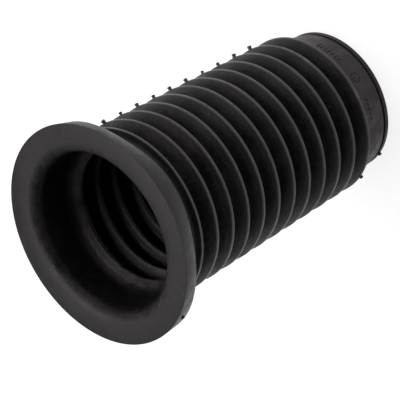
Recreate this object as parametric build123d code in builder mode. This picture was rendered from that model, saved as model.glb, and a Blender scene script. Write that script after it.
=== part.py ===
from build123d import *
import os

os.makedirs("parts", exist_ok=True)

# A moulded rubber bellows boot: a flared mouth, a short neck, a stack of tapering folds
# and a plain collar, all one piece. It stands on the end face of its collar. The origin
# is the centre of that face, +Z runs up the axis to the mouth, and the row of vent pips
# is on the +X side.

# Folded wall
fold_count = 12
fold_pitch = 9.0
fold_depth = 6.1
fold_wall = 1.8
steep_flank_rise = 2.2
crest_trim = 0.6
collar_crest_radius = 32.6
mouth_crest_radius = 35.5

# Collar
collar_length = 14.1
collar_radius = 28.6
collar_wall = 3.2
bead_step = 0.2
bead_height = 2.0
groove_width = 1.2
groove_depth = 0.8

# Neck from the folds to the mouth, one step in from the last crest and with a little draft
neck_step = 2.3
neck_draft = 0.8
neck_shoulder_height = 2.7
neck_length = 7.6

# Flange around the mouth
flange_radius = 45.0
flange_back_radius = 42.1
flange_thickness = 8.9
flange_front_chamfer = 0.5
flange_back_chamfer = 0.9
lip_round = 5.0

# Vent pips, one on every crest between the first and the last
pip_stem_radius = 0.45
pip_head_radius = 0.8
pip_stem_length = 0.55
pip_head_length = 0.75
pip_root = 0.5

# Flash tabs left where the mould halves part
flash_angle = 201
flash_width = 1.0
flash_reach = 1.1
flash_height = 1.6
flash_root = 0.8

# Radii and heights that follow from the sizes above
collar_bore_radius = collar_radius - collar_wall
bead_radius = collar_radius - bead_step
neck_foot_radius = mouth_crest_radius - neck_step
neck_mouth_radius = neck_foot_radius + neck_draft
groove_top_height = bead_height + groove_width
first_crest_height = collar_length + steep_flank_rise
last_crest_height = first_crest_height + (fold_count - 1) * fold_pitch
neck_foot_height = last_crest_height + neck_shoulder_height
flange_back_height = neck_foot_height + neck_length
boot_height = flange_back_height + flange_thickness


def crest_radius(height):
    """Radius of the tapering envelope that every crest reaches."""
    share = (height - first_crest_height) / (last_crest_height - first_crest_height)
    return collar_crest_radius + share * (mouth_crest_radius - collar_crest_radius)


def sharp_crest(fold):
    """Radius and height where the two flanks of a fold would meet, counted up from the collar."""
    height = first_crest_height + fold * fold_pitch
    return Vector(crest_radius(height) + crest_trim, height)


def inner_corner(before, corner, after):
    """The corner that keeps fold_wall of rubber behind the two straight runs at a corner."""
    square_to_first = (corner - before).normalized().rotate(Axis.Z, 90)
    square_to_second = (after - corner).normalized().rotate(Axis.Z, 90)
    mitre = fold_wall / (1 + square_to_first.dot(square_to_second))
    return corner + (square_to_first + square_to_second) * mitre


# Outside of the folded wall, from the collar's groove to the mouth. Each fold is
# lopsided: a steep flank climbs to the crest, and a gentle one falls back to the next valley.
outside = [
    Vector(collar_radius, groove_top_height),
    Vector(collar_radius, collar_length),
    sharp_crest(0),
]
for fold in range(1, fold_count):
    outside.append(sharp_crest(fold) - Vector(fold_depth, steep_flank_rise))
    outside.append(sharp_crest(fold))
outside.append(Vector(neck_foot_radius, neck_foot_height))
outside.append(Vector(neck_mouth_radius, boot_height))

# Inside of the folded wall, one wall behind the outside
inside = [outside[0] - Vector(fold_wall, 0)]
for before, corner, after in zip(outside, outside[1:], outside[2:]):
    inside.append(inner_corner(before, corner, after))
inside.append(outside[-1] - Vector(fold_wall, 0))

with BuildPart() as bellows_boot:
    with BuildSketch(Plane.XZ) as section:
        # Folded wall and neck, with the sharp crests trimmed back to their envelope
        with BuildLine():
            Polyline(*outside, *reversed(inside), close=True)
        make_face()
        with BuildLine():
            Polyline(
                (0, 0),
                (crest_radius(0), 0),
                (crest_radius(boot_height), boot_height),
                (0, boot_height),
                close=True,
            )
        make_face(mode=Mode.INTERSECT)
        # Collar, with a groove behind the bead at its end
        with BuildLine():
            Polyline(
                (collar_bore_radius, 0),
                (bead_radius, 0),
                (bead_radius, bead_height),
                (collar_radius - groove_depth, bead_height),
                (collar_radius - groove_depth, groove_top_height),
                (collar_radius, groove_top_height),
                (collar_radius, collar_length),
                (collar_bore_radius, collar_length),
                close=True,
            )
        make_face()
        # Flange, with a tapered edge
        with BuildLine():
            Polyline(
                (neck_foot_radius, flange_back_height),
                (flange_back_radius, flange_back_height),
                (flange_radius, boot_height),
                (neck_foot_radius, boot_height),
                close=True,
            )
        make_face()
        # Eased rims on the flange and a rounded lip into the mouth
        front_rim = section.vertices().sort_by_distance((flange_radius, boot_height, 0))[0]
        chamfer(front_rim, flange_front_chamfer)
        back_rim = section.vertices().sort_by_distance((flange_back_radius, flange_back_height, 0))[0]
        chamfer(back_rim, flange_back_chamfer)
        lip = section.vertices().sort_by_distance((inside[-1].X, boot_height, 0))[0]
        fillet(lip, lip_round)
    revolve(axis=Axis.Z)

    # Vent pips: a thin stem and a wider head, standing straight out of the crests
    for fold in range(1, fold_count - 1):
        height = first_crest_height + fold * fold_pitch
        radius = crest_radius(height)
        with Locations(Plane((radius - pip_root, 0, height), z_dir=(1, 0, 0))):
            Cylinder(
                pip_stem_radius,
                pip_root + pip_stem_length,
                align=(Align.CENTER, Align.CENTER, Align.MIN),
            )
        with Locations(Plane((radius + pip_stem_length, 0, height), z_dir=(1, 0, 0))):
            Cylinder(
                pip_head_radius,
                pip_head_length,
                align=(Align.CENTER, Align.CENTER, Align.MIN),
            )

    # Flash tabs on the edge of the flange, on the lowest crest and on the collar's bead
    parting_plane = Plane(
        origin=(0, 0, 0),
        x_dir=Vector(1, 0, 0).rotate(Axis.Z, flash_angle),
        z_dir=Vector(0, -1, 0).rotate(Axis.Z, flash_angle),
    )
    flange_edge_radius = (flange_radius + flange_back_radius) / 2
    flange_edge_height = (boot_height + flange_back_height) / 2
    for radius, height in (
        (flange_edge_radius, flange_edge_height),
        (collar_crest_radius, first_crest_height),
        (bead_radius, bead_height / 2),
    ):
        with BuildSketch(parting_plane):
            with BuildLine():
                Polyline(
                    (radius - flash_root, height - flash_height / 2),
                    (radius + flash_reach, height),
                    (radius - flash_root, height + flash_height / 2),
                    close=True,
                )
            make_face()
        extrude(amount=flash_width / 2, both=True)

bellows_boot.part.label = "bellows_boot"
export_step(bellows_boot.part, "parts/bellows_boot.step")
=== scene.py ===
"""Looks of a moulded rubber bellows boot: rounded folds, vent pips, mould flash, and matt rubber with wear
and painted light.
"""

import logging
import math
from dataclasses import dataclass
from enum import Enum
from typing import Callable, Sequence

import bpy
from mathutils import Matrix, Vector


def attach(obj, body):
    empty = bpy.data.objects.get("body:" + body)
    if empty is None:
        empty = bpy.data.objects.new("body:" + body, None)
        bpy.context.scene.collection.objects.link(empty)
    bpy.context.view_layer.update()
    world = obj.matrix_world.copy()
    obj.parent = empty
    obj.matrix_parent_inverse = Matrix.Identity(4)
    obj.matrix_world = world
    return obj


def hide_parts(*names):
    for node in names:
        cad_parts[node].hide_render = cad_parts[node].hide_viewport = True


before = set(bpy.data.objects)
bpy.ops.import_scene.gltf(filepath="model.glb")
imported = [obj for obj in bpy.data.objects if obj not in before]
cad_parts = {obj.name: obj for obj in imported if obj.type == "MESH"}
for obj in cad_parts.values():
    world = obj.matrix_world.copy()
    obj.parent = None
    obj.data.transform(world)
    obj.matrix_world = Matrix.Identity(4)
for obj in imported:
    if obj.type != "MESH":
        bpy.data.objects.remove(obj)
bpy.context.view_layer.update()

Piece = bpy.types.Object
Socket = bpy.types.NodeSocket
Colour = tuple[float, float, float]

LOG = logging.getLogger("bellows_boot")
MM = 0.001
# Places this near each other, in metres, count as one
TOUCH = 1e-6
# A face points along an axis if its normal goes this far that way
FACING = 0.9
BODY = "root"
CAD_NODE = "bellows_boot"


class Easing(Enum):
    """How softly a corner of the section is rounded: reach along each side in mm, and segments."""

    NICK = (0.16, 2)
    SMALL = (0.4, 3)
    EDGE = (0.22, 2)
    BACK_RIM = (1.1, 4)
    FLANK = (2.6, 4)
    VALLEY = (0.9, 3)
    RIDGE = (0.9, 4)
    HOLLOW = (4.1, 8)
    BLEND = (2.4, 7)
    SHOULDER = (1.6, 5)
    LIP = (5.0, 14)


@dataclass(frozen=True)
class Corner:
    """One corner of the section, in mm, with the easing it gets."""

    radius: float
    height: float
    easing: Easing

    @property
    def place(self) -> Vector:
        """Returns the corner's place in the XZ plane, in metres."""
        return Vector((self.radius * MM, 0.0, self.height * MM))


# ---- modelling helpers


def deselect_everything() -> None:
    """Leaves object mode if need be and clears the selection."""
    if bpy.context.mode != "OBJECT":
        bpy.ops.object.mode_set(mode="OBJECT")
    bpy.ops.object.select_all(action="DESELECT")


def activate(piece: Piece) -> None:
    """Makes a piece the only selected and active object.

    Args:
        piece: The object to work on.
    """
    deselect_everything()
    piece.select_set(True)
    bpy.context.view_layer.objects.active = piece


def settle() -> Piece:
    """Moves the active piece's place, turn and size into its mesh, and returns the piece."""
    bpy.ops.object.transform_apply(location=True, rotation=True, scale=True)
    return bpy.context.active_object


def select_where(
    piece: Piece, test: Callable[[Vector], bool], normal_test: Callable[[Vector], bool] | None = None
) -> None:
    """Selects the vertices, or the faces if a normal test is given, of a piece that is in edit mode.

    Args:
        piece: The object being edited.
        test: Says whether a place is wanted.
        normal_test: Says whether a face normal is wanted.
    """
    bpy.ops.mesh.select_mode(type="VERT" if normal_test is None else "FACE")
    bpy.ops.mesh.select_all(action="DESELECT")
    bpy.ops.object.mode_set(mode="OBJECT")
    if normal_test is None:
        for vertex in piece.data.vertices:
            vertex.select = test(vertex.co)
    else:
        for face in piece.data.polygons:
            face.select = test(face.center) and normal_test(face.normal)
    bpy.ops.object.mode_set(mode="EDIT")


def tidy_normals(piece: Piece) -> None:
    """Merges doubled vertices and turns every face outwards.

    Args:
        piece: The object whose mesh is tidied.
    """
    activate(piece)
    bpy.ops.object.mode_set(mode="EDIT")
    bpy.ops.mesh.select_all(action="SELECT")
    bpy.ops.mesh.remove_doubles(threshold=TOUCH)
    bpy.ops.mesh.normals_make_consistent(inside=False)
    bpy.ops.object.mode_set(mode="OBJECT")


def pull_out(offset: Sequence[float], size: Sequence[float]) -> None:
    """Extrudes the selected faces by an offset in metres and resizes what comes out."""
    bpy.ops.mesh.extrude_region_move(TRANSFORM_OT_translate={"value": offset})
    bpy.ops.transform.resize(value=size)


def copy_round(master: Piece, name: str, radius: float, azimuth: float, height: float) -> Piece:
    """Copies a master piece, with a mesh of its own, to a place round the axis, facing outwards.

    Args:
        master: The piece that is copied.
        name: The copy's name.
        radius: Its distance from the axis, in mm.
        azimuth: Its azimuth, in degrees.
        height: Its height, in mm.

    Returns:
        The copy.
    """
    piece = master.copy()
    piece.data = master.data.copy()
    piece.name = piece.data.name = name
    bpy.context.collection.objects.link(piece)
    turn = math.radians(azimuth)
    piece.location = Vector((radius * math.cos(turn), radius * math.sin(turn), height)) * MM
    piece.rotation_euler = (0.0, 0.0, turn)
    return piece


def dress(piece: Piece, rubber: bpy.types.Material, smooth_angle: float) -> None:
    """Settles a piece where it stands, shades it and gives it its finish and body.

    Args:
        piece: The finished object.
        rubber: Its finish.
        smooth_angle: Edges flatter than this angle shade smooth, in degrees.
    """
    activate(piece)
    settle()
    bpy.ops.object.shade_smooth_by_angle(angle=math.radians(smooth_angle))
    deselect_everything()
    piece.data.materials.append(rubber)
    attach(piece, BODY)


# ---- shader groups and finishes


class Nodes:
    """Adds and links nodes in one tree, where patterns read the coordinates in place."""

    def __init__(self, tree: bpy.types.NodeTree) -> None:
        """Empties the tree.

        Args:
            tree: The tree that nodes are added to.
        """
        self.tree = tree
        self.tree.nodes.clear()
        self.place: Socket | None = None

    def add(self, kind: str, **settings: object) -> bpy.types.Node:
        """Adds a node.

        Args:
            kind: The node's type name.
            **settings: Properties to set on it.

        Returns:
            The new node.
        """
        node = self.tree.nodes.new(kind)
        for name, value in settings.items():
            setattr(node, name, value)
        return node

    def wire(self, source: Socket, target: Socket) -> None:
        """Links one socket to another."""
        self.tree.links.new(source, target)

    def feed(self, item: Socket | float, target: Socket) -> None:
        """Gives an input a plain number, or links a socket to it.

        Args:
            item: The number or the socket.
            target: The input.
        """
        if isinstance(item, (int, float)):
            target.default_value = item
        else:
            self.wire(item, target)

    def group(self, title: str, settings: dict[str, float] | None = None) -> Socket:
        """Places one of the shared groups.

        Args:
            title: The group's title in GROUPS.
            settings: Values for its named inputs.

        Returns:
            Its output.
        """
        node = self.add("ShaderNodeGroup", node_tree=GROUPS[title])
        self.wire(self.place, node.inputs["Place"])
        for name, value in (settings or {}).items():
            node.inputs[name].default_value = value
        return node.outputs[0]

    def noise(
        self, scale: Socket | float, detail: float, roughness: float, place: Socket | None = None
    ) -> Socket:
        """Adds a noise texture.

        Args:
            scale: Its scale, per metre.
            detail: Its octaves.
            roughness: How strong the finer octaves are.
            place: The coordinates it reads, where they aren't the tree's own.

        Returns:
            Its value.
        """
        node = self.add("ShaderNodeTexNoise")
        self.wire(self.place if place is None else place, node.inputs["Vector"])
        self.feed(scale, node.inputs["Scale"])
        node.inputs["Detail"].default_value = detail
        node.inputs["Roughness"].default_value = roughness
        return node.outputs["Fac"]

    def drawn_out(self, squeeze: float = 0.05) -> Socket:
        """Squeezes the coordinates across the axis, so that a pattern is drawn out round it.

        Args:
            squeeze: How much they shrink across the axis.

        Returns:
            The squeezed coordinates.
        """
        node = self.add("ShaderNodeMapping")
        node.inputs["Scale"].default_value = (squeeze, squeeze, 1.0)
        self.wire(self.place, node.inputs["Vector"])
        return node.outputs["Vector"]

    def round_the_axis(self) -> tuple[Socket, Socket]:
        """Turns the coordinates into the distance from the axis and the height.

        Returns:
            The radius and the height.
        """
        parts = self.add("ShaderNodeSeparateXYZ")
        self.wire(self.place, parts.inputs["Vector"])
        flat = self.add("ShaderNodeCombineXYZ")
        for side in "XY":
            self.wire(parts.outputs[side], flat.inputs[side])
        radius = self.add("ShaderNodeVectorMath", operation="LENGTH")
        self.wire(flat.outputs["Vector"], radius.inputs[0])
        return radius.outputs["Value"], parts.outputs["Z"]

    def ramp(
        self,
        value: Socket,
        low: Socket | float,
        high: Socket | float,
        to_low: float = 0.0,
        to_high: float = 1.0,
    ) -> Socket:
        """Adds a clamped smooth range from low to high.

        Args:
            value: The value that is mapped.
            low: The value that gives to_low.
            high: The value that gives to_high.
            to_low: The result at low.
            to_high: The result at high.

        Returns:
            The mapped value.
        """
        node = self.add("ShaderNodeMapRange", interpolation_type="SMOOTHSTEP")
        names = ("Value", "From Min", "From Max", "To Min", "To Max")
        for name, item in zip(names, (value, low, high, to_low, to_high)):
            self.feed(item, node.inputs[name])
        return node.outputs["Result"]

    def math(self, operation: str, first: Socket | float, second: Socket | float = 0.0) -> Socket:
        """Adds a math node.

        Args:
            operation: The operation's name.
            first: The first value or socket.
            second: The second value or socket.

        Returns:
            The result.
        """
        node = self.add("ShaderNodeMath", operation=operation)
        for item, target in zip((first, second), node.inputs):
            self.feed(item, target)
        return node.outputs["Value"]

    def mix(self, first: Socket | Colour, second: Colour, share: Socket) -> Socket:
        """Mixes a colour towards another by a mask.

        Args:
            first: The colour, or the socket, at a mask of 0.
            second: The colour at a mask of 1.
            share: The mask.

        Returns:
            The mixed colour.
        """
        node = self.add("ShaderNodeMix", data_type="RGBA")
        mask, start, end = (node.inputs[number] for number in (0, 6, 7))
        self.wire(share, mask)
        if isinstance(first, tuple):
            start.default_value = (*first, 1.0)
        else:
            self.wire(first, start)
        end.default_value = (*second, 1.0)
        return node.outputs[2]

    def finish(self, output: str, shader: Socket) -> None:
        """Adds the tree's output node and links the shader to it."""
        self.wire(shader, self.add(output).inputs["Surface"])


GROUPS: dict[str, bpy.types.NodeTree] = {}


def new_group(name: str, inputs: dict[str, float], output: str) -> tuple[Nodes, dict[str, Socket], Socket]:
    """Starts a shader node group that reads a place and named numbers and puts out one value.

    Args:
        name: The group's name.
        inputs: Named number inputs and their defaults.
        output: The output's name.

    Returns:
        The helper, the inputs by name and the output.
    """
    group = bpy.data.node_groups.new(name, "ShaderNodeTree")
    group.interface.new_socket("Place", in_out="INPUT", socket_type="NodeSocketVector")
    for title, default in inputs.items():
        socket = group.interface.new_socket(title, in_out="INPUT", socket_type="NodeSocketFloat")
        socket.default_value = default
    group.interface.new_socket(output, in_out="OUTPUT", socket_type="NodeSocketFloat")
    nodes = Nodes(group)
    entry, leave = nodes.add("NodeGroupInput"), nodes.add("NodeGroupOutput")
    nodes.place = entry.outputs["Place"]
    return nodes, {title: entry.outputs[title] for title in inputs}, leave.inputs[output]


def build_grain_group() -> bpy.types.NodeTree:
    """Builds the fine moulded grain of rubber: pores, soft lumps and faint drawn lines round the axis.

    Returns:
        The node group.
    """
    nodes, given, height = new_group(
        "moulded_grain",
        {
            "Pore Scale": 1150.0, "Lump Scale": 330.0, "Line Scale": 900.0,
            "Lump Share": 0.9, "Line Share": 0.5,
        },
        "Height",
    )
    pores = nodes.noise(given["Pore Scale"], detail=3.0, roughness=0.6)
    lumps = nodes.noise(given["Lump Scale"], detail=2.0, roughness=0.5)
    lines = nodes.noise(given["Line Scale"], detail=2.0, roughness=0.5, place=nodes.drawn_out())
    total = nodes.math("ADD", pores, nodes.math("MULTIPLY", lumps, given["Lump Share"]))
    nodes.wire(nodes.math("ADD", total, nodes.math("MULTIPLY", lines, given["Line Share"])), height)
    return nodes.tree


# The noise values between which grit and drawn lines break up the bloom
BREAK_SPAN = (0.35, 0.7)


def build_bloom_group() -> bpy.types.NodeTree:
    """Builds the pale bloom that handling leaves on rubber: broad patches broken up by grit and lines.

    Returns:
        The node group.
    """
    nodes, given, mask = new_group(
        "handling_bloom",
        {
            "Patch Scale": 62.0, "Grit Scale": 900.0, "Line Scale": 700.0, "Low": 0.44, "High": 0.70,
            "Grit Share": 0.4, "Line Share": 0.35, "Even Share": 0.25,
        },
        "Mask",
    )
    patches = nodes.noise(given["Patch Scale"], detail=5.0, roughness=0.62)
    grit = nodes.noise(given["Grit Scale"], detail=4.0, roughness=0.5)
    lines = nodes.noise(given["Line Scale"], detail=3.0, roughness=0.6, place=nodes.drawn_out())
    broad = nodes.ramp(patches, given["Low"], given["High"])
    grit = nodes.math("MULTIPLY", nodes.ramp(grit, *BREAK_SPAN), given["Grit Share"])
    lines = nodes.math("MULTIPLY", nodes.ramp(lines, *BREAK_SPAN), given["Line Share"])
    broken = nodes.math("ADD", nodes.math("ADD", grit, lines), given["Even Share"])
    nodes.wire(nodes.math("MULTIPLY", broad, broken), mask)
    return nodes.tree


def build_speck_group() -> bpy.types.NodeTree:
    """Builds sparse dust specks.

    Returns:
        The node group.
    """
    nodes, given, mask = new_group(
        "dust_specks", {"Speck Scale": 300.0, "Speck Size": 0.09, "Rarity": 0.95}, "Mask"
    )
    cells = nodes.add("ShaderNodeTexVoronoi")
    cells.inputs["Randomness"].default_value = 1.0
    nodes.wire(nodes.place, cells.inputs["Vector"])
    nodes.wire(given["Speck Scale"], cells.inputs["Scale"])
    near = nodes.math("LESS_THAN", cells.outputs["Distance"], given["Speck Size"])
    chosen = nodes.add("ShaderNodeSeparateColor")
    nodes.wire(cells.outputs["Color"], chosen.inputs["Color"])
    sparse = nodes.math("GREATER_THAN", chosen.outputs["Red"], given["Rarity"])
    nodes.wire(nodes.math("MULTIPLY", near, sparse), mask)
    return nodes.tree


def build_band_group() -> bpy.types.NodeTree:
    """Builds a soft mask for a band of radius and height round the axis.

    Returns:
        The node group.
    """
    nodes, given, mask = new_group(
        "axial_band", {"Radius": 0.04, "Reach": 0.002, "Height": 0.13, "Rise": 0.004}, "Mask"
    )
    radius, height = nodes.round_the_axis()
    masks = []
    for value, middle, reach in ((radius, "Radius", "Reach"), (height, "Height", "Rise")):
        away = nodes.math("ABSOLUTE", nodes.math("SUBTRACT", value, given[middle]))
        masks.append(nodes.ramp(nodes.math("DIVIDE", away, given[reach]), 1.0, 0.0))
    nodes.wire(nodes.math("MULTIPLY", *masks), mask)
    return nodes.tree


def build_crest_group() -> bpy.types.NodeTree:
    """Builds a mask that is 1 on the folds' crests and fades to 0 down towards the valleys between them.

    Returns:
        The node group.
    """
    nodes, given, mask = new_group(
        "crest_wear_and_painted_light",
        {"Crest Radius": 0.0326, "Crest Height": 0.0163, "Crest Slope": 0.03, "Fade": 0.003, "Top": 0.12},
        "Mask",
    )
    radius, height = nodes.round_the_axis()
    climb = nodes.math("SUBTRACT", height, given["Crest Height"])
    crest = nodes.math("ADD", nodes.math("MULTIPLY", climb, given["Crest Slope"]), given["Crest Radius"])
    depth = nodes.math("DIVIDE", nodes.math("SUBTRACT", crest, radius), given["Fade"])
    below_top = nodes.math("LESS_THAN", height, given["Top"])
    nodes.wire(nodes.math("MULTIPLY", nodes.ramp(depth, 1.0, 0.0), below_top), mask)
    return nodes.tree


# Settings of the bloom pattern for rubbed bands and for dust that has settled
RUBBED = {"Patch Scale": 150.0, "Low": 0.40, "High": 0.62}
SETTLED = {"Patch Scale": 120.0, "Low": 0.28, "High": 0.66}


@dataclass(frozen=True)
class StainAndGlintSpot:
    """A faint spot round one place of the wall, in mm, used for the stains and for the painted glints."""

    place: tuple[float, float, float]
    reach: float
    strength: float


@dataclass(frozen=True)
class Band:
    """A rubbed, hazy or dusty band round the axis, in mm, that fades out over its reach and rise."""

    radius: float
    reach: float
    height: float
    rise: float
    strength: float


@dataclass(frozen=True)
class RubberFinish:
    """Matt black moulded rubber with grain, bloom, rubbed rims, dusty ridges, specks and faint stains, with
    painted light and shade on the folds' flanks, rubbed crest lands that also carry a painted highlight, and
    painted glints.

    Fades, depths and heights are in mm, and shares run from 0 to 1. The crest line is the lowest
    crest's radius and height, and how much the radius grows with height.
    """

    name: str = "moulded_rubber"
    base: Colour = (0.0056, 0.0048, 0.0050)
    bloom: Colour = (0.0330, 0.0295, 0.0310)
    stain: Colour = (0.0420, 0.0250, 0.0180)
    dust: Colour = (0.0660, 0.0560, 0.0490)
    # Dust specks, and also the colour of the painted glints on two crest lands
    speck_and_glint: Colour = (0.22, 0.21, 0.20)
    # Painted light and shade: the flanks are paler just under each crest and darker towards the valleys
    painted_flank_light: Colour = (0.0360, 0.0335, 0.0350)
    # Crest lands: partly rubbed wear, partly a painted highlight
    crest: Colour = (0.1080, 0.0990, 0.1030)
    haze: Colour = (0.0540, 0.0395, 0.0500)
    sheen: Colour = (1.0, 0.93, 0.955)
    gloss: float = 0.32
    roughness: float = 0.42
    polish: float = 0.06
    dulling: float = 0.16
    grain_dulling: float = 0.12
    grain_depth: float = 0.22
    bump: float = 0.60
    grain_pale: float = 0.30
    grain_span: tuple[float, float] = (1.0, 1.5)
    bloom_share: float = 0.75
    speck_share: float = 0.45
    crest_line: tuple[float, float, float] = (32.6, 16.3, 0.0293)
    # Strength and depth of the crest lands' wear and painted highlight; the glint spots use the same depth
    crest_pale: float = 0.95
    crest_fade: float = 0.30
    # Strength and depth of the painted light and shade on the flanks
    flank_pale: float = 0.42
    flank_fade: float = 3.0
    folds_top: float = 121.5
    rubbed: tuple[Band, ...] = (
        Band(43.8, 2.2, 130.0, 7.0, 1.1),
        Band(35.0, 4.5, 132.8, 5.0, 1.20),
        Band(28.6, 1.5, 7.0, 14.0, 2.2),
    )
    hazy: Band = Band(28.6, 1.5, 7.0, 14.0, 0.75)
    dusty: Band = Band(28.4, 4.0, 106.0, 22.0, 1.5)
    mottle_scale: float = 260.0
    mottle_span: tuple[float, float] = (0.38, 0.66)
    stains: tuple[StainAndGlintSpot, ...] = (
        StainAndGlintSpot((25.6, -22.3, 108.8), 8.0, 0.65),
        StainAndGlintSpot((22.6, -26.0, 98.8), 7.0, 1.00),
        StainAndGlintSpot((15.3, -30.0, 99.8), 6.0, 0.80),
        StainAndGlintSpot((11.4, -33.1, 97.6), 5.0, 0.55),
        StainAndGlintSpot((28.8, -17.3, 52.6), 9.0, 0.25),
        StainAndGlintSpot((-6.0, -33.0, 70.0), 12.0, 0.20),
    )
    # Painted highlight: pale glint spots on two crest lands
    painted_glints: tuple[StainAndGlintSpot, ...] = (
        StainAndGlintSpot((19.0, -26.8, 25.4), 3.4, 0.70),
        StainAndGlintSpot((-1.0, -32.6, 16.5), 3.4, 0.70),
    )

    def build(self) -> bpy.types.Material:
        """Builds the material.

        Returns:
            The rubber material.
        """
        material = bpy.data.materials.new(self.name)
        material.use_nodes = True
        nodes = Nodes(material.node_tree)
        nodes.place = nodes.add("ShaderNodeTexCoord").outputs["Object"]
        grain = nodes.group("grain")
        pale = self._paleness(nodes, grain)
        dust = nodes.math("MULTIPLY", self._band(nodes, self.dusty), nodes.group("bloom", SETTLED))
        surface = nodes.add("ShaderNodeBsdfPrincipled")
        surface.inputs["Specular IOR Level"].default_value = self.gloss
        surface.inputs["Specular Tint"].default_value = (*self.sheen, 1.0)
        nodes.wire(self._colour(nodes, pale, dust), surface.inputs["Base Color"])
        dull = nodes.math("ADD", nodes.math("MULTIPLY", grain, self.grain_dulling), dust)
        mottle = nodes.math("ADD", pale, dull)
        rough = nodes.ramp(mottle, 0.0, 1.0, self.roughness - self.polish, self.roughness + self.dulling)
        nodes.wire(rough, surface.inputs["Roughness"])
        bump = nodes.add("ShaderNodeBump")
        bump.inputs["Strength"].default_value = self.bump
        bump.inputs["Distance"].default_value = self.grain_depth * MM
        nodes.wire(grain, bump.inputs["Height"])
        nodes.wire(bump.outputs["Normal"], surface.inputs["Normal"])
        nodes.finish("ShaderNodeOutputMaterial", surface.outputs["BSDF"])
        return material

    def _paleness(self, nodes: Nodes, grain: Socket) -> Socket:
        """Works out how pale the bloom, the grain and the rubbed bands make the rubber.

        Args:
            nodes: The material's helper.
            grain: The grain's height.

        Returns:
            The share of bloom colour.
        """
        rubs = nodes.group("bloom", RUBBED)
        pale = nodes.math("MULTIPLY", nodes.group("bloom"), self.bloom_share)
        pale = nodes.math("ADD", pale, nodes.ramp(grain, *self.grain_span, 0.0, self.grain_pale))
        for band in self.rubbed:
            pale = nodes.math("MAXIMUM", pale, nodes.math("MULTIPLY", self._band(nodes, band), rubs))
        return pale

    def _colour(self, nodes: Nodes, pale: Socket, dust: Socket) -> Socket:
        """Lays bloom, painted light and shade on the flanks, rubbed wear with a painted highlight on the
        crests, haze, dust, stains, specks and painted glints over the black.

        Args:
            nodes: The material's helper.
            pale: The share of bloom colour.
            dust: The share of dust.

        Returns:
            The colour.
        """
        colour = nodes.mix(self.base, self.bloom, pale)
        # Painted light and shade: the flanks are paler near the crests and darken towards the valleys, where
        # the next fold shades them
        colour = nodes.mix(colour, self.painted_flank_light, self._wear_and_painted_light(nodes, self.flank_fade, self.flank_pale))
        # Crest lands: partly rubbed wear, partly a painted highlight along each crest
        colour = nodes.mix(colour, self.crest, self._wear_and_painted_light(nodes, self.crest_fade, self.crest_pale))
        colour = nodes.mix(colour, self.haze, self._band(nodes, self.hazy))
        colour = nodes.mix(colour, self.dust, dust)
        mottle = nodes.noise(self.mottle_scale, detail=4.0, roughness=0.6)
        mottle = nodes.ramp(mottle, *self.mottle_span)
        for stain in self.stains:
            mask = nodes.math("MULTIPLY", self._near(nodes, stain), mottle)
            colour = nodes.mix(colour, self.stain, mask)
        specks = nodes.group("specks")
        colour = nodes.mix(colour, self.speck_and_glint, nodes.math("MULTIPLY", specks, self.speck_share))
        # Painted highlight: pale glint spots on the crest lands
        ridges = self._wear_and_painted_light(nodes, self.crest_fade, 1.0)
        for painted_glint in self.painted_glints:
            mask = nodes.math("MULTIPLY", ridges, self._near(nodes, painted_glint))
            colour = nodes.mix(colour, self.speck_and_glint, mask)
        return colour

    def _band(self, nodes: Nodes, band: Band) -> Socket:
        """Places a band's mask.

        Args:
            nodes: The material's helper.
            band: The band.

        Returns:
            The mask, at the band's strength.
        """
        sizes = {
            "Radius": band.radius * MM,
            "Reach": band.reach * MM,
            "Height": band.height * MM,
            "Rise": band.rise * MM,
        }
        return nodes.math("MULTIPLY", nodes.group("band", sizes), band.strength)

    def _wear_and_painted_light(self, nodes: Nodes, fade: float, share: float) -> Socket:
        """Places a mask on the folds' crests, for their rubbed wear and for the painted light on the crests
        and flanks.

        Args:
            nodes: The material's helper.
            fade: The depth at which the mask ends, in mm.
            share: The mask on the crest itself.

        Returns:
            The mask.
        """
        radius, height, slope = self.crest_line
        sizes = {
            "Crest Radius": radius * MM,
            "Crest Height": height * MM,
            "Crest Slope": slope,
            "Fade": fade * MM,
            "Top": self.folds_top * MM,
        }
        return nodes.math("MULTIPLY", nodes.group("crest", sizes), share)

    def _near(self, nodes: Nodes, stain: StainAndGlintSpot) -> Socket:
        """Places a mask that fades with the distance from a spot's middle.

        Args:
            nodes: The material's helper.
            stain: The spot; the painted glints use it too.

        Returns:
            The mask, at the spot's strength.
        """
        distance = nodes.add("ShaderNodeVectorMath", operation="DISTANCE")
        nodes.wire(nodes.place, distance.inputs[0])
        distance.inputs[1].default_value = Vector(stain.place) * MM
        return nodes.ramp(distance.outputs["Value"], stain.reach * MM, 0.0, 0.0, stain.strength)


# ---- the boot's wall


# Azimuth in degrees and how far the soft back rim stands out of true there, in mm
RIM_WAVE = (
    (0.0, 0.0),
    (150.0, 0.0),
    (190.0, 1.7),
    (240.0, -0.6),
    (276.0, 1.0),
    (313.0, -1.6),
    (350.0, 0.3),
    (360.0, 0.0),
)


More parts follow.
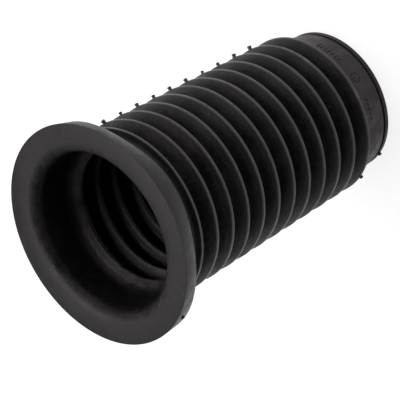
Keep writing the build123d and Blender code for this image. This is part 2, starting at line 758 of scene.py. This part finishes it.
@dataclass
class BellowsWall:
    """The one-piece wall: collar, folds, neck and flange, spun from one section. Sizes in mm."""

    fold_count: int = 12
    fold_pitch: float = 9.0
    fold_depth: float = 6.1
    wall: float = 1.8
    steep_rise: float = 2.2
    crest_trim: float = 0.6
    land_below: float = 0.3
    land_above: float = 0.85
    flank_bulge: float = 0.6
    flank_share: float = 0.42
    collar_crest_radius: float = 32.6
    mouth_crest_radius: float = 35.5
    collar_length: float = 14.1
    collar_radius: float = 28.6
    collar_bore_radius: float = 25.4
    bead_radius: float = 28.4
    bead_height: float = 2.0
    groove_width: float = 1.2
    groove_depth: float = 0.8
    neck_foot_radius: float = 33.2
    neck_mouth_radius: float = 34.0
    neck_shoulder_height: float = 2.7
    neck_length: float = 7.6
    inner_shoulder: float = 2.1
    flange_radius: float = 44.885
    flange_back_radius: float = 42.1
    flange_thickness: float = 8.9
    ridge_set_back: float = 0.1
    wave_below: float = 0.5
    wave_above: float = 2.5
    wave_inset: float = 2.0
    spin_steps: int = 232
    smooth_angle: float = 38.0

    @property
    def first_crest(self) -> float:
        """Returns the lowest crest's height."""
        return self.collar_length + self.steep_rise

    @property
    def last_crest(self) -> float:
        """Returns the highest crest's height."""
        return self.first_crest + (self.fold_count - 1) * self.fold_pitch

    @property
    def neck_foot(self) -> float:
        """Returns the height of the neck's foot."""
        return self.last_crest + self.neck_shoulder_height

    @property
    def flange_back(self) -> float:
        """Returns the height of the flange's back face."""
        return self.neck_foot + self.neck_length

    @property
    def top(self) -> float:
        """Returns the height of the mouth's face."""
        return self.flange_back + self.flange_thickness

    def crest_height(self, fold: int) -> float:
        """Returns the height of a crest, counted up from the collar."""
        return self.first_crest + fold * self.fold_pitch

    def crest_radius(self, height: float) -> float:
        """Returns the radius that the crests reach at a height."""
        share = (height - self.first_crest) / (self.last_crest - self.first_crest)
        return self.collar_crest_radius + share * (self.mouth_crest_radius - self.collar_crest_radius)

    def outside(self) -> list[Corner]:
        """Lists the section's outside corners from the collar's end to the flange's front rim.

        Returns:
            The corners, upwards.
        """
        groove_top = self.bead_height + self.groove_width
        corners = [
            Corner(self.bead_radius, 0.0, Easing.SMALL),
            Corner(self.bead_radius, self.bead_height, Easing.NICK),
            Corner(self.collar_radius - self.groove_depth, self.bead_height, Easing.NICK),
            Corner(self.collar_radius - self.groove_depth, groove_top, Easing.NICK),
            Corner(self.collar_radius, groove_top, Easing.SMALL),
            Corner(self.collar_radius, self.collar_length, Easing.SMALL),
        ]
        for fold in range(self.fold_count):
            height = self.crest_height(fold)
            land = self.crest_radius(height)
            if fold:
                valley = land + self.crest_trim - self.fold_depth
                corners.append(Corner(valley, height - self.steep_rise, Easing.VALLEY))
            corners.append(Corner(land, height - self.land_below, Easing.EDGE))
            corners.append(Corner(land, height + self.land_above, Easing.EDGE))
            if fold < self.fold_count - 1:
                corners.append(self._flank(height, land))
        corners += [
            Corner(self.neck_foot_radius, self.neck_foot, Easing.SHOULDER),
            Corner(self.neck_radius(self.flange_back), self.flange_back, Easing.SHOULDER),
            Corner(self.flange_back_radius, self.flange_back, Easing.BACK_RIM),
            Corner(self.flange_radius, self.top, Easing.EDGE),
        ]
        return corners

    def _flank(self, height: float, land: float) -> Corner:
        """Returns the soft swell in the gentle flank above a crest.

        Args:
            height: The crest's height.
            land: The crest's radius.

        Returns:
            The swell's corner.
        """
        above = height + self.fold_pitch
        start = Vector((land, height + self.land_above))
        valley = self.crest_radius(above) + self.crest_trim - self.fold_depth
        end = Vector((valley, above - self.steep_rise))
        run = end - start
        outwards = Vector((run.y, -run.x)).normalized()
        place = start + run * self.flank_share + outwards * self.flank_bulge
        return Corner(place.x, place.y, Easing.FLANK)

    def neck_radius(self, height: float) -> float:
        """Returns the neck's outside radius at a height."""
        share = (height - self.neck_foot) / (self.top - self.neck_foot)
        return self.neck_foot_radius + share * (self.neck_mouth_radius - self.neck_foot_radius)

    def inside(self) -> list[Corner]:
        """Lists the section's inside corners from the lip down to the collar's bore.

        Returns:
            The corners, downwards.
        """
        runs = [(self.collar_radius, 0.0), (self.collar_radius, self.collar_length)]
        for fold in range(self.fold_count):
            height = self.crest_height(fold)
            tip = self.crest_radius(height) + self.crest_trim
            if fold:
                runs.append((tip - self.fold_depth, height - self.steep_rise))
            runs.append((tip, height))
        runs.append((self.neck_foot_radius, self.neck_foot))
        behind = [self._behind(*trio) for trio in zip(runs, runs[1:], runs[2:])]
        first, *rest = reversed(behind[1:-1])
        corners = [
            Corner(self.neck_mouth_radius - self.wall, self.top, Easing.LIP),
            Corner(self.neck_foot_radius - self.wall, self.last_crest + self.inner_shoulder, Easing.BLEND),
            Corner(first[0] - self.ridge_set_back, first[1] - self.ridge_set_back, Easing.RIDGE),
        ]
        for number, place in enumerate(rest):
            corners.append(Corner(*place, Easing.RIDGE if number % 2 else Easing.HOLLOW))
        corners.append(Corner(self.collar_bore_radius, self.collar_length, Easing.SMALL))
        corners.append(Corner(self.collar_bore_radius, 0.0, Easing.SMALL))
        return corners

    def _behind(
        self, before: tuple[float, float], corner: tuple[float, float], after: tuple[float, float]
    ) -> tuple[float, float]:
        """Mitres the corner that keeps one wall of rubber behind two straight runs.

        Args:
            before: Radius and height where the first run starts.
            corner: Radius and height where the runs meet.
            after: Radius and height where the second run ends.

        Returns:
            The inner corner's radius and height.
        """
        first = (Vector(corner) - Vector(before)).normalized()
        second = (Vector(after) - Vector(corner)).normalized()
        square_first = Vector((-first.y, first.x))
        square_second = Vector((-second.y, second.x))
        mitre = self.wall / (1 + square_first.dot(square_second))
        place = Vector(corner) + (square_first + square_second) * mitre
        return place.x, place.y

    def build(self, rubber: bpy.types.Material) -> Piece:
        """Walks the section, rounds its corners and spins it into the wall.

        Args:
            rubber: The wall's finish.

        Returns:
            The wall.
        """
        corners = self.outside() + self.inside()
        piece = self._walk(corners)
        self._ease(piece, corners)
        bpy.ops.mesh.select_all(action="SELECT")
        bpy.ops.mesh.spin(
            steps=self.spin_steps,
            angle=math.tau,
            center=(0.0, 0.0, 0.0),
            axis=(0.0, 0.0, 1.0),
            use_auto_merge=True,
        )
        tidy_normals(piece)
        self._warp_back_rim(piece)
        dress(piece, rubber, self.smooth_angle)
        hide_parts(CAD_NODE)
        return piece

    def _rim_wave(self, azimuth: float) -> float:
        """Eases between the places of RIM_WAVE.

        Args:
            azimuth: The azimuth in degrees, from 0 to 360.

        Returns:
            The outward offset in mm.
        """
        for (start, low), (end, high) in zip(RIM_WAVE, RIM_WAVE[1:]):
            if start <= azimuth <= end:
                share = (azimuth - start) / (end - start)
                return low + (high - low) * (1 - math.cos(math.pi * share)) / 2
        return 0.0

    def _warp_back_rim(self, piece: Piece) -> None:
        """Pushes the flange's back rim gently in and out, as soft rubber sets.

        Args:
            piece: The wall.
        """
        lowest = (self.flange_back - self.wave_below) * MM
        highest = (self.flange_back + self.wave_above) * MM
        inner = (self.flange_back_radius - self.wave_inset) * MM
        for vertex in piece.data.vertices:
            place = vertex.co
            radius = math.hypot(place.x, place.y)
            if lowest < place.z < highest and radius > inner:
                azimuth = math.degrees(math.atan2(place.y, place.x)) % 360.0
                growth = 1 + self._rim_wave(azimuth) * MM / radius
                place.x *= growth
                place.y *= growth

    def _walk(self, corners: Sequence[Corner]) -> Piece:
        """Draws the closed section by extruding one point from corner to corner.

        Args:
            corners: The section's corners in order.

        Returns:
            The outline, left in edit mode.
        """
        deselect_everything()
        bpy.ops.mesh.primitive_plane_add(size=MM, location=corners[0].place)
        piece = settle()
        piece.name = piece.data.name = "boot_wall"
        bpy.ops.object.mode_set(mode="EDIT")
        bpy.ops.mesh.select_all(action="SELECT")
        bpy.ops.mesh.merge(type="CENTER")
        for here, there in zip(corners, corners[1:]):
            bpy.ops.mesh.extrude_vertices_move(
                TRANSFORM_OT_translate={"value": there.place - here.place}
            )
        ends = (corners[0].place, corners[-1].place)
        select_where(piece, lambda co: min((co - end).length for end in ends) < TOUCH)
        bpy.ops.mesh.edge_face_add()
        return piece

    def _ease(self, piece: Piece, corners: Sequence[Corner]) -> None:
        """Rounds the corners of the outline, one kind of easing after another.

        Args:
            piece: The outline, in edit mode.
            corners: Its corners.
        """
        for easing in Easing:
            reach, segments = easing.value
            places = [corner.place for corner in corners if corner.easing is easing]
            select_where(piece, lambda co: any((co - place).length < 2 * TOUCH for place in places))
            bpy.ops.mesh.bevel(
                offset_type="OFFSET",
                offset=reach * MM,
                segments=segments,
                profile=0.5,
                affect="VERTICES",
                clamp_overlap=False,
            )


# ---- pips and flash


@dataclass
class VentPips:
    """The mushroom-headed pips that the mould's vent holes leave on the crests. Sizes in mm."""

    wall: BellowsWall
    stem_radius: float = 0.62
    head_radius: float = 0.86
    stem_length: float = 0.45
    head_length: float = 0.85
    root: float = 0.5
    root_flare: float = 1.5
    head_step: float = 0.1
    head_taper: float = 0.86
    head_round: float = 0.24
    sides: int = 20
    smooth_angle: float = 40.0
    growth: tuple[float, ...] = (1.08, 1.06, 0.9, 0.8, 1.0, 1.0, 0.94, 1.0, 0.86, 1.06)
    lean: tuple[float, ...] = (-3.0, -17.0, 6.0, -20.0, 6.0, 3.0, -6.0, 5.0, -3.0, 18.0)

    def build(self, rubber: bpy.types.Material) -> list[Piece]:
        """Models one pip and copies it to every crest that has one.

        Args:
            rubber: The pips' finish.

        Returns:
            The pips.
        """
        master = self._model()
        pips = []
        for fold in range(1, self.wall.fold_count - 1):
            height = self.wall.crest_height(fold)
            radius = self.wall.crest_radius(height)
            pip = copy_round(master, f"vent_pip_{fold:02d}", radius, 0.0, height)
            pip.rotation_euler = (0.0, math.radians(90.0 - self.lean[fold - 1]), 0.0)
            pip.scale = (self.growth[fold - 1],) * 3
            dress(pip, rubber, self.smooth_angle)
            pips.append(pip)
        bpy.data.objects.remove(master)
        return pips

    def _model(self) -> Piece:
        """Shapes one pip upright on the origin: a flared root, a stem and a domed head.

        Returns:
            The pip.
        """
        deselect_everything()
        top, bottom, step = self.stem_length * MM, -self.root * MM, self.head_step * MM
        bpy.ops.mesh.primitive_cylinder_add(
            vertices=self.sides,
            radius=self.stem_radius * MM,
            depth=top - bottom,
            location=(0.0, 0.0, (top + bottom) / 2),
        )
        piece = settle()
        bpy.ops.object.mode_set(mode="EDIT")
        select_where(piece, lambda co: co.z > top - TOUCH, lambda normal: normal.z > FACING)
        growth = self.head_radius / self.stem_radius
        for rise, size in ((step, growth), (self.head_length * MM - step, self.head_taper)):
            pull_out((0.0, 0.0, rise), (size, size, 1.0))
        select_where(piece, lambda co: co.z > top + step / 2)
        bpy.ops.mesh.bevel(offset=self.head_round * MM, segments=3, profile=0.5, affect="EDGES")
        select_where(piece, lambda co: co.z < bottom + TOUCH)
        bpy.ops.transform.resize(value=(self.root_flare, self.root_flare, 1.0))
        tidy_normals(piece)
        return piece


@dataclass
class FlashTabs:
    """Little torn tabs of flash where the mould halves part. Sizes in mm, angles in degrees."""

    places: tuple[tuple[str, float, float], ...] = (
        ("rim", 44.1, 130.05),
        ("fold", 32.6, 16.3),
        ("collar", 28.4, 1.0),
    )
    azimuth: float = 201.0
    root: float = 0.8
    reach: float = 0.95
    width: float = 0.8
    height: float = 1.4
    tip_width: float = 0.55
    tip_height: float = 0.35
    edge_round: float = 0.12
    smooth_angle: float = 40.0

    def build(self, rubber: bpy.types.Material) -> list[Piece]:
        """Models one tab and copies it to each place.

        Args:
            rubber: The tabs' finish.

        Returns:
            The tabs.
        """
        master = self._model()
        tabs = []
        for name, radius, height in self.places:
            tab = copy_round(master, f"flash_tab_{name}", radius, self.azimuth, height)
            dress(tab, rubber, self.smooth_angle)
            tabs.append(tab)
        bpy.data.objects.remove(master)
        return tabs

    def _model(self) -> Piece:
        """Shapes one tab that stands out along +X from the origin, thinner at its torn tip.

        Returns:
            The tab.
        """
        deselect_everything()
        size = Vector((self.root * 2, self.width, self.height))
        bpy.ops.mesh.primitive_cube_add(size=1.0, scale=size * MM)
        piece = settle()
        bpy.ops.object.mode_set(mode="EDIT")
        select_where(piece, lambda co: co.x > 0, lambda normal: normal.x > FACING)
        pull_out(((self.reach - self.root) * MM, 0.0, 0.0), (1.0, self.tip_width, self.tip_height))
        bpy.ops.mesh.select_mode(type="EDGE")
        bpy.ops.mesh.select_all(action="SELECT")
        bpy.ops.mesh.bevel(offset=self.edge_round * MM, segments=2, affect="EDGES")
        tidy_normals(piece)
        return piece


@dataclass
class MouldMarks:
    """Plain raised marks on the collar: gauge bars, a dial of dots and a row of dots. Sizes in mm."""

    wall: BellowsWall
    height: float = 9.3
    relief: float = 0.16
    sunk: float = 0.3
    bar_width: float = 0.75
    bar_count: int = 7
    bar_azimuth: float = -40.0
    bar_turn: float = -3.6
    bar_length: float = 2.4
    dial_azimuth: float = -81.0
    dial_radius: float = 1.9
    dial_dots: int = 12
    hand_width: float = 0.6
    hand_length: float = 1.7
    hand_rise: float = 0.3
    dot_radius: float = 0.3
    dot_sides: int = 16
    row_count: int = 5
    row_azimuth: float = -100.0
    row_turn: float = -4.0
    row_radius: float = 0.7
    top_width: float = 0.72
    top_length: float = 0.86
    smooth_angle: float = 50.0

    def build(self, rubber: bpy.types.Material) -> list[Piece]:
        """Models one bar and one dot, and copies them round the collar.

        Args:
            rubber: The marks' finish.

        Returns:
            The marks.
        """
        bar, dot = self._bar(), self._dot()
        rows = []
        for number in range(self.bar_count):
            azimuth = self.bar_azimuth + self.bar_turn * number
            rows.append((bar, f"gauge_bar_{number:02d}", azimuth, self.height, 1.0, self.bar_length))
        for number in range(self.dial_dots):
            turn = math.tau / self.dial_dots * number
            across = self.dial_radius * math.sin(turn)
            azimuth = self.dial_azimuth + math.degrees(across / self.wall.collar_radius)
            height = self.height + self.dial_radius * math.cos(turn)
            rows.append((dot, f"dial_dot_{number:02d}", azimuth, height, self.dot_radius, self.dot_radius))
        height = self.height + self.hand_rise
        rows.append((bar, "dial_hand", self.dial_azimuth, height, self.hand_width, self.hand_length))
        for number in range(self.row_count):
            azimuth = self.row_azimuth + self.row_turn * number
            name = f"row_dot_{number:02d}"
            rows.append((dot, name, azimuth, self.height, self.row_radius, self.row_radius))
        marks = []
        for master, name, azimuth, height, width, length in rows:
            mark = copy_round(master, name, self.wall.collar_radius, azimuth, height)
            mark.scale = (1.0, width, length)
            dress(mark, rubber, self.smooth_angle)
            marks.append(mark)
        for master in (bar, dot):
            bpy.data.objects.remove(master)
        return marks

    def _bar(self) -> Piece:
        """Shapes a bar one mm long that stands out along +X, with drafted sides.

        Returns:
            The bar.
        """
        deselect_everything()
        place, size = Vector((-self.sunk / 2, 0.0, 0.0)), Vector((self.sunk, self.bar_width, 1.0))
        bpy.ops.mesh.primitive_cube_add(size=1.0, location=place * MM, scale=size * MM)
        piece = settle()
        self._raise_face(piece)
        return piece

    def _dot(self) -> Piece:
        """Shapes a round dot of one mm radius that stands out along +X, with drafted sides.

        Returns:
            The dot.
        """
        deselect_everything()
        bpy.ops.mesh.primitive_cylinder_add(
            vertices=self.dot_sides,
            radius=MM,
            depth=self.sunk * MM,
            location=(-self.sunk / 2 * MM, 0.0, 0.0),
            rotation=(0.0, math.radians(90.0), 0.0),
        )
        piece = settle()
        self._raise_face(piece)
        return piece

    def _raise_face(self, piece: Piece) -> None:
        """Raises the outer face by the relief and narrows it.

        Args:
            piece: The mark.
        """
        bpy.ops.object.mode_set(mode="EDIT")
        select_where(piece, lambda co: True, lambda normal: normal.x > FACING)
        pull_out((self.relief * MM, 0.0, 0.0), (1.0, self.top_width, self.top_length))
        tidy_normals(piece)


# ---- floor, lamps and camera


@dataclass(frozen=True)
class Glow:
    """A broad soft patch of the room's light. Angles in degrees, strength at its middle."""

    azimuth: float
    elevation: float
    strength: float
    softness: float = 14.0

    @property
    def direction(self) -> Vector:
        """Returns the direction from the boot to the patch."""
        turn, rise = math.radians(self.azimuth), math.radians(self.elevation)
        return Vector((math.cos(rise) * math.cos(turn), math.cos(rise) * math.sin(turn), math.sin(rise)))


@dataclass
class Studio:
    """A white floor that runs to a white horizon, broad soft light from above and behind, and the camera."""

    floor_side: float = 60.0
    paper: Colour = (0.30, 0.30, 0.297)
    paper_glow: float = 0.86
    horizon: float = 0.95
    horizon_softness: float = 100.0
    horizon_rise: float = 1.0
    glows: tuple[Glow, ...] = (
        Glow(-90.0, 5.0, 0.25, 30.0),
        Glow(-34.0, 11.0, 2.10, 36.0),
        Glow(36.0, 50.0, 1.18),
        Glow(72.0, 50.0, 0.70),
        Glow(108.0, 50.0, 1.62),
        Glow(72.0, 72.0, 1.60),
    )
    lamp: Glow = Glow(0.0, 72.0, 1.28)
    lamp_width: float = 42.0
    camera_place: tuple[float, float, float] = (0.068807, -1.462410, 1.287140)
    camera_right: tuple[float, float, float] = (-0.47214689, -0.57492612, -0.66823444)
    camera_up: tuple[float, float, float] = (0.88059245, -0.27284605, -0.38744287)
    lens: float = 450.0
    sensor: float = 36.0
    clip: tuple[float, float] = (0.1, 50.0)

    def build(self) -> None:
        """Sets up the floor, the world, the lamp and the camera."""
        self._floor()
        self._world()
        self._lamp()
        self._camera()
        bpy.context.scene.view_settings.view_transform = "Standard"

    def _floor(self) -> None:
        """Lays a pale floor that shows white and keeps the boot's soft shadow."""
        deselect_everything()
        bpy.ops.mesh.primitive_plane_add(size=self.floor_side, location=(0.0, 0.0, 0.0))
        floor = bpy.context.active_object
        floor.name = floor.data.name = "studio_floor"
        material = bpy.data.materials.new("white_paper")
        material.use_nodes = True
        nodes = Nodes(material.node_tree)
        sheet = nodes.add("ShaderNodeBsdfDiffuse")
        sheet.inputs["Color"].default_value = (*self.paper, 1.0)
        glow = nodes.add("ShaderNodeEmission")
        path = nodes.add("ShaderNodeLightPath")
        seen = nodes.math("MAXIMUM", path.outputs["Is Camera Ray"], path.outputs["Is Glossy Ray"])
        seen = nodes.math("MAXIMUM", seen, path.outputs["Is Transmission Ray"])
        nodes.wire(nodes.math("MULTIPLY", seen, self.paper_glow), glow.inputs["Strength"])
        both = nodes.add("ShaderNodeAddShader")
        nodes.wire(sheet.outputs["BSDF"], both.inputs[0])
        nodes.wire(glow.outputs["Emission"], both.inputs[1])
        nodes.finish("ShaderNodeOutputMaterial", both.outputs["Shader"])
        floor.data.materials.append(material)

    def _world(self) -> None:
        """Lights the room: a white horizon all round, and broad soft patches above and behind."""
        world = bpy.data.worlds.new("studio")
        world.use_nodes = True
        nodes = Nodes(world.node_tree)
        place = nodes.add("ShaderNodeTexCoord").outputs["Generated"]
        parts = nodes.add("ShaderNodeSeparateXYZ")
        nodes.wire(place, parts.inputs["Vector"])
        rise = nodes.math("ARCSINE", parts.outputs["Z"])
        rise = nodes.math("SUBTRACT", rise, math.radians(self.horizon_rise))
        level = nodes.math("MAXIMUM", nodes.math("COSINE", rise), 0.0)
        band = nodes.math("POWER", level, self.horizon_softness)
        light = nodes.math("MULTIPLY", band, self.horizon)
        for glow in self.glows:
            toward = nodes.add("ShaderNodeVectorMath", operation="DOT_PRODUCT")
            nodes.wire(place, toward.inputs[0])
            toward.inputs[1].default_value = glow.direction
            facing = nodes.math("MAXIMUM", toward.outputs["Value"], 0.0)
            patch = nodes.math("POWER", facing, glow.softness)
            light = nodes.math("ADD", light, nodes.math("MULTIPLY", patch, glow.strength))
        background = nodes.add("ShaderNodeBackground")
        nodes.wire(light, background.inputs["Strength"])
        nodes.finish("ShaderNodeOutputWorld", background.outputs["Background"])
        bpy.context.scene.world = world

    def _lamp(self) -> None:
        """Adds one large round lamp far overhead."""
        deselect_everything()
        turn = (-self.lamp.direction).to_track_quat("-Z", "Y").to_euler()
        bpy.ops.object.light_add(type="SUN", location=self.lamp.direction, rotation=turn)
        light = bpy.context.active_object
        light.name = "lamp_overhead"
        light.data.energy = self.lamp.strength
        light.data.angle = math.radians(self.lamp_width)

    def _camera(self) -> None:
        """Adds the rolled long-lens camera."""
        right, up = Vector(self.camera_right), Vector(self.camera_up)
        back = right.cross(up)
        data = bpy.data.cameras.new("camera")
        data.lens = self.lens
        data.sensor_width = self.sensor
        data.clip_start, data.clip_end = self.clip
        camera = bpy.data.objects.new("camera", data)
        bpy.context.collection.objects.link(camera)
        turn = Matrix((right, up, back)).transposed().to_4x4()
        camera.matrix_world = Matrix.Translation(self.camera_place) @ turn
        bpy.context.scene.camera = camera


# ---- assembly


def main() -> None:
    """Builds the boot's pieces in order, then the studio."""
    builders = (
        ("grain", build_grain_group),
        ("bloom", build_bloom_group),
        ("specks", build_speck_group),
        ("band", build_band_group),
        ("crest", build_crest_group),
    )
    for title, build_group in builders:
        GROUPS[title] = build_group()
    rubber = RubberFinish().build()
    wall = BellowsWall()
    pieces = [wall.build(rubber)]
    for kind in (VentPips(wall), FlashTabs(), MouldMarks(wall)):
        pieces += kind.build(rubber)
    for piece in pieces:
        LOG.info("%s: %d faces", piece.name, len(piece.data.polygons))
    Studio().build()
    LOG.info("studio ready")


if __name__ == "__main__":
    logging.basicConfig(level=logging.INFO)
    main()
